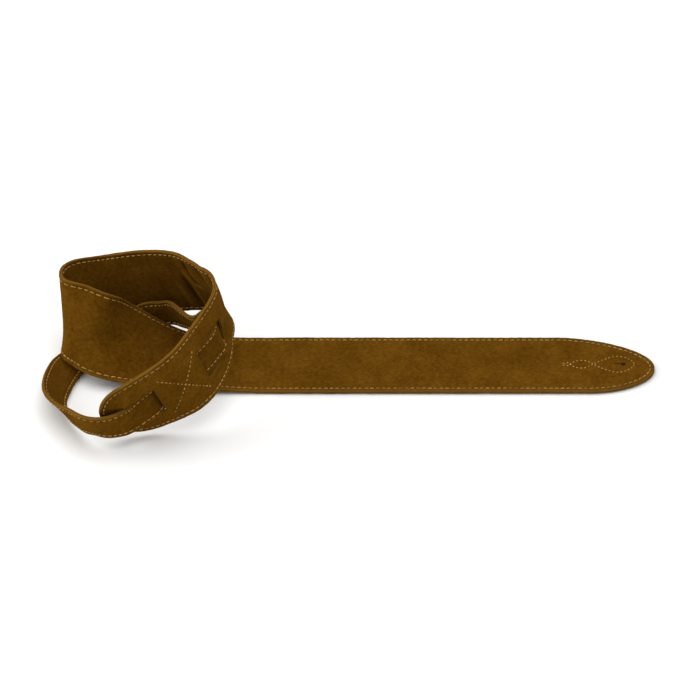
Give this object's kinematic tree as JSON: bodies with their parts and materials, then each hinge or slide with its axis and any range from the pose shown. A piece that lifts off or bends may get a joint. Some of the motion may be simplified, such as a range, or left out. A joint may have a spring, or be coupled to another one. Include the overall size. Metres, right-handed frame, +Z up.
{
  "type": "guitar strap",
  "caption": "Two-layer suede instrument strap: long flat run to a rounded button-hole end, loosely coiled other half with a narrow adjuster tail woven through cut windows.",
  "frame": {"origin": "on the underside of the flat run's inner length, at its middle", "axes": "+X along the flat run towards its rounded end, +Y away from the side the loose tail loops out at, +Z up from the surface"},
  "size_m": [0.4664, 0.1585, 0.0962],
  "materials": {
    "suede_face": "honey-brown suede nap, mottled, matte",
    "suede_backing": "darker brown suede nap, matte",
    "thread": "tan twisted sewing thread"
  },
  "bodies": {
    "run_inner": {"run_inner_backing_layer": "suede_backing", "run_inner_face_layer": "suede_face", "run_inner_far_bobbin_thread": "thread", "run_inner_far_needle_thread": "thread", "run_inner_near_bobbin_thread": "thread", "run_inner_near_needle_thread": "thread"},
    "run_outer": {"run_outer_backing_layer": "suede_backing", "run_outer_face_layer": "suede_face", "run_outer_far_bobbin_thread": "thread", "run_outer_far_needle_thread": "thread", "run_outer_near_bobbin_thread": "thread", "run_outer_near_needle_thread": "thread"},
    "tip": {"tip_backing_layer": "suede_backing", "tip_edge_bobbin_thread": "thread", "tip_edge_needle_thread": "thread", "tip_face_layer": "suede_face", "tip_loop_bobbin_thread": "thread", "tip_loop_needle_thread": "thread"},
    "coil_front": {"coil_front_backing_layer": "suede_backing", "coil_front_face_layer": "suede_face", "coil_front_far_bobbin_thread": "thread", "coil_front_far_needle_thread": "thread", "coil_front_near_bobbin_thread": "thread", "coil_front_near_needle_thread": "thread"},
    "coil_back": {"bridge_cross_needle_thread_1": "thread", "bridge_cross_needle_thread_2": "thread", "coil_band_backing_layer": "suede_backing", "coil_band_edge_bobbin_thread": "thread", "coil_band_edge_needle_thread": "thread", "coil_band_face_layer": "suede_face"},
    "tail_woven": {"tail_woven_backing_layer": "suede_backing", "tail_woven_bobbin_thread": "thread", "tail_woven_face_layer": "suede_face", "tail_woven_needle_thread": "thread"},
    "tail_loop": {"tail_loop_backing_layer": "suede_backing", "tail_loop_bobbin_thread": "thread", "tail_loop_face_layer": "suede_face", "tail_loop_needle_thread": "thread"}
  },
  "joints": [
    {"name": "run_flex", "type": "hinge", "parent": "run_inner", "child": "run_outer", "pos_m": [0.05, 0, 0.0013], "axis": [0, -1, 0], "range_deg": [-60, 60], "stiffness_Nm_per_rad": 0.02},
    {"name": "tip_flex", "type": "hinge", "parent": "run_outer", "child": "tip", "pos_m": [0.154, 0, 0.0013], "axis": [0, -1, 0], "range_deg": [-60, 60], "stiffness_Nm_per_rad": 0.02},
    {"name": "coil_lift", "type": "hinge", "parent": "run_inner", "child": "coil_front", "pos_m": [-0.05, 0, 0.0013], "axis": [0, 1, 0], "range_deg": [0, 50], "stiffness_Nm_per_rad": 0.05},
    {"name": "coil_open", "type": "hinge", "parent": "coil_front", "child": "coil_back", "pos_m": [-0.19115, 0.0215, 0.03808], "axis": [0, 0, 1], "range_deg": [0, 8], "stiffness_Nm_per_rad": 0.05},
    {"name": "tail_slide", "type": "slide", "parent": "coil_back", "child": "tail_woven", "axis": [-0.7696, -0.5363, -0.3464], "range_m": [-0.0012, 0.0012]},
    {"name": "tail_swing", "type": "hinge", "parent": "tail_woven", "child": "tail_loop", "pos_m": [-0.16427, -0.09856, 0.02289], "axis": [0, 0, 1], "range_deg": [0, 20], "stiffness_Nm_per_rad": 0.02}
  ]
}
